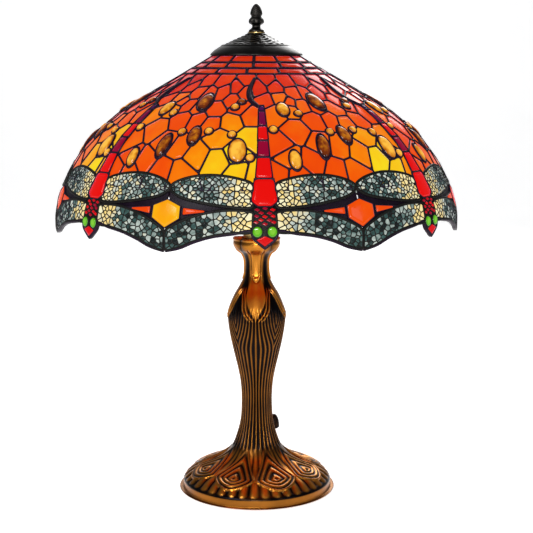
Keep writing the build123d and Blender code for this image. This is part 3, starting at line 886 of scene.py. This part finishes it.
for k in range(DRAGONFLIES):
    turn = FRONT_TURN + k * SECTOR
    outer, inner = [], []
    for level in range(BACKING_ROWS + 1):
        outer.append(backing_row(turn, level / BACKING_ROWS, BACKING_FRONT))
        inner.append(backing_row(turn, level / BACKING_ROWS, BACKING_BACK))
    for grid in (outer, inner):
        for one, other in zip(grid, grid[1:]):
            backing.bridge(one, other, False)
    backing.bridge(outer[0], inner[0], False)
    backing.bridge(outer[-1], inner[-1], False)
    add_strip(backing, rim_line, 3.2, 1.1, -3.4, turn, 0.6)
backing.build(lead)
came.build(lead)
net.build(filigree_metal)


# ---- Turned pieces: a surface whose radius follows a line and a relief round the axis ----
LEAST_RADIUS = 0.02
EVEN_TONE = 0.12


def turned(piece, line, columns, rows, relief, cap_top=True, cap_bottom=True):
    """A surface of revolution; relief(degrees, height, radius) gives (rise, tone)."""
    rings = []
    for j in range(rows + 1):
        distance = line.length * j / rows
        radius, height = line.at(distance)
        before, after = line.at(max(distance - 1, 0)), line.at(min(distance + 1, line.length))
        length = math.dist(before, after)
        out = ((after[1] - before[1]) / length, -(after[0] - before[0]) / length)
        ring = []
        for i in range(columns):
            degrees = 360 * i / columns
            rise, tone = relief(degrees, height, radius)
            r = max(radius + rise * out[0], LEAST_RADIUS)
            ring += piece.add([round_axis(r, degrees, height + rise * out[1])], tone)
        rings.append(ring)
    for one, other in zip(rings, rings[1:]):
        piece.bridge(one, other)
    if cap_bottom:
        piece.faces.append(tuple(reversed(rings[0])))
    if cap_top:
        piece.faces.append(tuple(rings[-1]))
    return rings


def plain(degrees, height, radius):
    return 0.0, EVEN_TONE


def wrapped(degrees, period, offset=0.0):
    """-1 to 1 across each of the repeats round the axis, 0 at the middle of each."""
    return ((degrees - offset) / period + 0.5) % 1.0 * 2 - 1


# ---- Cast foot and stem ----
foot_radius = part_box("base_casting")[1].x / MM
# The casting's section, from the floor up: (radius, height).
STEM = (
    (0, 1.5), (93.5, 1.5), (96.3, 2.2), (96.5, 6), (96.4, 11.2), (95.4, 13), (92.6, 16), (88, 20),
    (82, 23.8), (72, 28.4), (61, 33), (50.5, 38), (42, 43.5), (36, 49.5), (31.5, 56), (28, 63),
    (25, 72), (22, 83), (20, 95), (19.2, 112), (19.4, 128), (20.8, 143), (23.6, 158), (27.2, 173),
    (31.0, 189), (34.2, 205), (36.3, 220), (36.6, 231), (34.6, 240), (31.2, 249), (27.2, 257.5),
    (22.6, 265), (18.6, 273), (16.6, 281), (15.8, 291), (16.4, 302), (19.8, 310), (26.2, 315.5),
    (28.9, 321), (28.6, 327), (27.4, 330), (0, 330),
)
FLUTES = 40
REEDS = 32
TONGUE_HALF = 0.36
TULIPS = 8
TULIP_MIDDLE, TULIP_OUT, TULIP_IN, TULIP_WIDTH = 0.37, 0.25, 0.66, 0.95
TULIP_RIDGES = 3.5
SIDES = 4
LEAF_LOW, LEAF_HIGH = 224, 285
TONGUE_LOW = 262
EDGE_HEIGHT = 11.5
PATTERN_TURN = -1.7


def foot_relief(degrees, height, radius):
    """Fluted petals round the edge, and tulip shapes with ridges that follow their outline."""
    flute = wrapped(degrees, 360 / FLUTES, PATTERN_TURN)
    inward = clamp((foot_radius - radius) / (foot_radius - 30))  # 0 at the edge, 1 at the stem
    petal = 1 - abs(flute) ** 2.2
    start = ramp(inward, 0.015 + 0.02 * abs(flute) ** 2, 0.05 + 0.03 * abs(flute) ** 2)
    fade = 1 - ramp(inward, 0.42, 0.62)
    rise = 2.3 * (petal - 0.7) * start * fade
    tone = 0.14 + 0.66 * petal ** 2 * start
    lobe = wrapped(degrees, 360 / TULIPS, PATTERN_TURN + 180 / TULIPS)
    reach = TULIP_OUT if inward < TULIP_MIDDLE else TULIP_IN
    across, along = abs(lobe) / TULIP_WIDTH, abs(inward - TULIP_MIDDLE) / reach
    level = (across ** 1.6 + along ** 1.3) ** 0.7
    cover = 1 - ramp(level, 0.95, 1.08)
    ridge = 0.5 - 0.5 * math.cos(2 * math.pi * TULIP_RIDGES * level)
    rise = rise * (1 - cover) + cover * (0.9 + 1.3 * ridge)
    tone = tone * (1 - cover) + cover * (0.10 + 0.75 * ridge)
    return rise, tone


def stem_relief(degrees, height, radius):
    """Reeds up the stem, a smooth leaf on each side of the belly, a tongue and a lobed collar."""
    panel = wrapped(degrees, 360 / SIDES, PATTERN_TURN)
    gather = 1 + 0.8 * ramp(height, 186, 230)
    waver = 0.12 * math.sin(height / 17) * math.sin(math.pi * panel)
    phase = REEDS / (2 * SIDES) * panel * gather + waver
    reeds = ramp(height, 50, 66) * (1 - ramp(height, 222, 246))
    profile = 0.5 + 0.5 * math.cos(2 * math.pi * phase)
    rise = 1.5 * (profile - 0.6) * reeds
    tone = 0.19 + (0.40 * profile ** 2 - 0.15) * reeds
    if LEAF_LOW < height < LEAF_HIGH:
        width = 0.62 * ramp(height, LEAF_LOW, TONGUE_LOW) ** 0.8
        fade = 1 - ramp(height, 268, LEAF_HIGH)
        leaf = (1 - ramp(abs(panel), width - 0.04, width + 0.02)) * fade
        sway = 0.07 * math.sin(2 * math.pi * (height - 228) / 34)
        near = bump_of(abs(panel), width + 0.12 + sway, 0.075)
        far = bump_of(abs(panel), width + 0.29 + sway, 0.075)
        ridge = near + 0.8 * far
        ridge *= ramp(height, LEAF_LOW, 230) * (1 - ramp(height, TONGUE_LOW, 270))
        rise += 0.9 * leaf + 1.9 * ridge
        tone = clamp(tone - 0.08 * (1 - leaf) * fade + 0.55 * leaf + 0.7 * ridge)
    if height > TONGUE_LOW:
        front = 1 - ramp(abs(panel), 0.5, 0.85)
        level = math.hypot(panel, TONGUE_HALF * max(0.0, 287 - height) / 9)
        edge = bump_of(level, TONGUE_HALF, 0.12)
        groove = bump_of(level, TONGUE_HALF + 0.15, 0.08)
        rise += (1.1 * edge - 0.7 * groove) * (1 - ramp(height, 312, 320))
        blend = ramp(height, 256, 288)
        tongue_tone = 0.16 + 0.55 * front + 0.25 * edge - 0.35 * groove
        tone = clamp(tone * (1 - blend) + blend * tongue_tone)
    collar = ramp(height, 309, 321)
    lobes = abs(math.cos(math.radians(2 * (degrees - PATTERN_TURN))))
    rise += collar * (2.6 * lobes ** 0.7 - 1.6)
    tone = tone * (1 - collar) + collar * (0.15 + 0.65 * lobes ** 0.6)
    return rise, tone


def casting_relief(degrees, height, radius):
    """The foot's relief, blended into the stem's."""
    if height <= EDGE_HEIGHT or radius < 15:
        return 0.0, 0.5 - 0.35 * bump_of(height, EDGE_HEIGHT, 1.5)
    share = ramp(height, 42, 60)
    foot_rise, foot_tone = foot_relief(degrees, height, radius)
    stem_rise, stem_tone = stem_relief(degrees, height, radius)
    rise = foot_rise * (1 - share) + stem_rise * share
    return rise, foot_tone * (1 - share) + stem_tone * share


casting = Piece("base_casting", "bronze", "base")
turned(casting, Line(STEM, 8), 360 * DETAIL, 230 * DETAIL, casting_relief)


# The hood over the cord's way out, at the back right of the stem.
hood_low, hood_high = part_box("cord_grommet")
hood_middle = (hood_low + hood_high) / 2 / MM
HOOD_LIFT = 0.9
HOOD = (
    (0, 0.0), (5.6, 0.0), (6.8, 0.6), (7.2, 2.5), (6.8, 7), (5.8, 11.5), (4.2, 15.2), (2.0, 17.6),
    (0, 18),
)
hood_shift = Vector((hood_middle.x, hood_middle.y, hood_low.z / MM + HOOD_LIFT)) * MM
start = len(casting.verts)
turned(casting, Line(HOOD, 6), 40, 40, plain)
casting.verts[start:] = [v + hood_shift for v in casting.verts[start:]]
casting.build(bronze)

# ---- Cap, washer and finial ----
cap_low, cap_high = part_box("cap")
cap_floor, cap_top = cap_low.z / MM, cap_high.z / MM
# (radius, height over the cap's floor), under the rim and up the outside.
CAP_SKIRT = (
    (41, 10.5), (51, 5), (56, 1.4), (57.6, 0.1), (57.9, 1.2), (56.6, 3.2), (53, 6.4), (48.5, 9.6),
    (44.8, 11.8), (43.4, 13.4), (42.4, 13.6), (41, 13.2), (34, 16.6), (24, 21.2), (15, 25.2),
)
CAP = (
    (3.6, cap_top - 3), (12, cap_top - 3.2),
    *((radius, cap_floor + height) for radius, height in CAP_SKIRT),
    (12, cap_top - 0.7), (10, cap_top - 0.2), (3.6, cap_top - 0.2),
)


def cap_relief(degrees, height, radius):
    """Scrolls and beads between the ridge line and the middle of the cap."""
    underside = cap_floor + 27 - radius * 0.42 - 2
    if height < cap_floor + 13.3 or not 13 < radius < 41.5 or height < underside:
        return 0.0, 0.35
    scroll = math.sin(math.radians(12 * degrees) + radius * 0.55) * math.sin(radius * 0.62)
    beads = 0.5 + 0.5 * math.cos(math.radians(24 * degrees))
    band = bump_of(radius, 37.5, 3)
    rise = 0.75 * scroll * (1 - band) + 0.9 * beads * band
    return rise - 0.3, clamp(0.35 + 0.5 * scroll + 0.4 * beads * band)


cap = Piece("cap", "dark_bronze", "cap")
rings = turned(cap, Line(CAP, 8), 180 * DETAIL, 90 * DETAIL, cap_relief, False, False)
cap.bridge(rings[-1], rings[0])
cap.build(dark_bronze)

finial_low, finial_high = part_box("finial")
base, reach = finial_low.z / MM, (finial_high.z - finial_low.z) / MM
# (radius, share of the height).
FINIAL = (
    (4.6, 0.0), (9.2, 0.0), (9.7, 0.03), (9.2, 0.075), (7.2, 0.12), (5.5, 0.17), (5.2, 0.22),
    (6.4, 0.26), (8.9, 0.31), (9.6, 0.37), (8.9, 0.45), (7.2, 0.51), (6.3, 0.55), (6.6, 0.58),
    (7.7, 0.62), (7.7, 0.68), (6.9, 0.77), (5.6, 0.86), (3.6, 0.94), (1.6, 0.985), (0.05, 1.0),
)


def finial_relief(degrees, height, radius):
    """Lobes round the lower bulb and scales up the upper one."""
    share = (height - base) / reach
    lobes = math.cos(math.radians(8 * degrees))
    if 0.24 < share < 0.54:
        swell = bump_of(share, 0.38, 0.15)
        return (0.5 * lobes - 0.5) * swell, 0.4 + 0.35 * lobes * swell
    if 0.6 < share < 0.97:
        scales = math.cos(math.radians(9 * degrees)) * math.cos(share * 95)
        return 0.22 * scales - 0.22, 0.45 + 0.4 * scales
    return 0.0, 0.45


finial = Piece("finial", "dark_bronze", "finial")
line = Line([(radius, base + share * reach) for radius, share in FINIAL], 8)
turned(finial, line, 72 * DETAIL, 90 * DETAIL, finial_relief)
finial.build(dark_bronze)

# ---- Bulbs: a frosted envelope that swells from the neck ----
BULB = ((12.3, 0.0), (12.6, 3.0), (14.2, 7.0), (18.6, 12.6), (23.0, 19), (24.8, 26), (24.0, 34),
        (20.6, 41.5), (14.2, 47.6), (7.0, 50.4), (0.05, 51.0))
BULB_TILT = 35
BULB_RADIUS = 25
for side, name in ((-1, "left"), (1, "right")):
    low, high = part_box(f"bulb_glass_{name}")
    envelope = Piece(f"bulb_glass_{name}", "bulb_glass", f"bulb_{name}")
    turned(envelope, Line(BULB, 6), 48, 60, plain)
    tilt = math.radians(BULB_TILT)
    axis = Vector((side * math.sin(tilt), 0, math.cos(tilt)))
    corner = Vector((high.x if side > 0 else low.x, 0, high.z))
    centre = corner - Vector((side * BULB_RADIUS, 0, BULB_RADIUS)) * MM
    foot = centre - axis * 26 * MM
    turn = axis.to_track_quat("Z", "Y")
    envelope.verts = [foot + turn @ v for v in envelope.verts]
    envelope.build(bulb_glass)

# ---- The pieces that keep their solids' shape ----
KEPT = {
    felt: ("felt_pad",),
    iron: ("ballast_disc",),
    rubber: ("cord_grommet",),
    phenolic: ("socket_liner_left", "socket_liner_right"),
    wire_cover: ("lamp_wires", "wire_nuts"),
    steel: ("pipe_nut", "pipe_washer", "lamp_pipe", "socket_nipples", "shade_rod",
            "bulb_base_left", "bulb_base_right", "bulb_tip_left", "bulb_tip_right"),
    brass: ("check_ring", "cluster_body", "cluster_lid", "socket_shell_left",
            "socket_shell_right", "socket_screw_shell_left", "socket_screw_shell_right",
            "socket_contact_left", "socket_contact_right", "rod_nut", "wheel_nut", "shade_wheel",
            "aperture_ring", "cap_washer", "finial_bush"),
}
EDGE_BEVEL = 0.0002
for material, names in KEPT.items():
    for name in names:
        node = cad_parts[name]
        node.data.materials.clear()
        node.data.materials.append(material)
        for polygon in node.data.polygons:
            polygon.material_index = 0
        bevel = node.modifiers.new("edges", "BEVEL")
        bevel.width = EDGE_BEVEL
        bevel.limit_method = "ANGLE"


# ---- Floor, lights and camera, in metres ----
PAPER = [(0.3, (0.94, 0.94, 0.94)), (0.7, (0.96, 0.96, 0.96))]
PAPER_GLOW = 0.6


def stage_material():
    material, tree, shader = new_material("paper")
    colour = colour_ramp(tree, noise_texture(tree, 3.0), PAPER)
    tree.links.new(colour, shader.inputs["Base Color"])
    tree.links.new(colour, shader.inputs["Emission Color"])
    shader.inputs["Emission Strength"].default_value = PAPER_GLOW
    shader.inputs["Roughness"].default_value = 0.85
    return material


SWEEP_HALF = 1.7
SWEEP_FRONT, SWEEP_BACK = -2.2, 3.0
SWEEP_BEND, SWEEP_TOP = 1.6, 5.0
SWEEP_STEPS = 32
FLAT_SHARE = 0.6


def add_sweep():
    """A pale floor that curves up into the backdrop."""
    work = bmesh.new()
    places = []
    for i in range(SWEEP_STEPS + 1):
        share = i / SWEEP_STEPS
        y = SWEEP_FRONT + (SWEEP_BACK - SWEEP_FRONT) * min(share / FLAT_SHARE, 1.0)
        z = 0.0
        if share > FLAT_SHARE:
            angle = math.pi / 2 * (share - FLAT_SHARE) / (1 - FLAT_SHARE)
            y = SWEEP_BACK + SWEEP_BEND * math.sin(angle)
            z = SWEEP_BEND - SWEEP_BEND * math.cos(angle)
        places.append((y, z))
    places.append((SWEEP_BACK + SWEEP_BEND, SWEEP_TOP))
    rows = [[work.verts.new((x, y, z)) for x in (-SWEEP_HALF, SWEEP_HALF)] for y, z in places]
    for one, other in zip(rows, rows[1:]):
        work.faces.new((one[0], one[1], other[1], other[0])).smooth = True
    mesh = bpy.data.meshes.new("sweep")
    work.to_mesh(mesh)
    work.free()
    mesh.materials.append(stage_material())
    sweep = bpy.data.objects.new("sweep", mesh)
    bpy.context.scene.collection.objects.link(sweep)


# (name, place, target, size, watts).
LIGHTS = (
    ("key", (-1.3, -1.7, 1.7), (0, 0, 0.35), 0.7, 30),
    ("fill", (1.6, -1.4, 1.1), (0, 0, 0.3), 0.7, 6),
    ("front_card", (-0.1, -2.2, 0.7), (0, 0, 0.25), 0.4, 26),
    ("back", (0.4, 1.9, 1.6), (0, 0, 0.5), 1.2, 24),
)


def add_light(name, place, target, size, watts):
    data = bpy.data.lights.new(name, "AREA")
    data.energy, data.size = watts, size
    light = bpy.data.objects.new(name, data)
    light.location = place
    light.rotation_euler = (Vector(target) - Vector(place)).to_track_quat("-Z", "Y").to_euler()
    bpy.context.scene.collection.objects.link(light)


add_sweep()
for light in LIGHTS:
    add_light(*light)

# The camera sees a white backdrop, while the lamp is lit by a much dimmer room.
ROOM_LIGHT = 0.22
world = bpy.data.worlds.new("studio")
world.use_nodes = True
sky = world.node_tree.nodes["Background"]
sky.inputs["Color"].default_value = (0.97, 0.98, 1.0, 1.0)
seen = world.node_tree.nodes.new("ShaderNodeLightPath").outputs["Is Camera Ray"]
strength = math_node(world.node_tree, "MAXIMUM", seen, ROOM_LIGHT)
world.node_tree.links.new(strength, sky.inputs["Strength"])
bpy.context.scene.world = world
bpy.context.scene.view_settings.view_transform = "Standard"

CAMERA_LENS = 85.3
CAMERA_PLACE = (0.0127, -1.6043, 0.549)
CAMERA_PITCH = 80.9
camera_data = bpy.data.cameras.new("camera")
camera_data.lens = CAMERA_LENS
camera = bpy.data.objects.new("camera", camera_data)
camera.location = CAMERA_PLACE
camera.rotation_euler = (math.radians(CAMERA_PITCH), 0.0, 0.0)
bpy.context.scene.collection.objects.link(camera)
bpy.context.scene.camera = camera
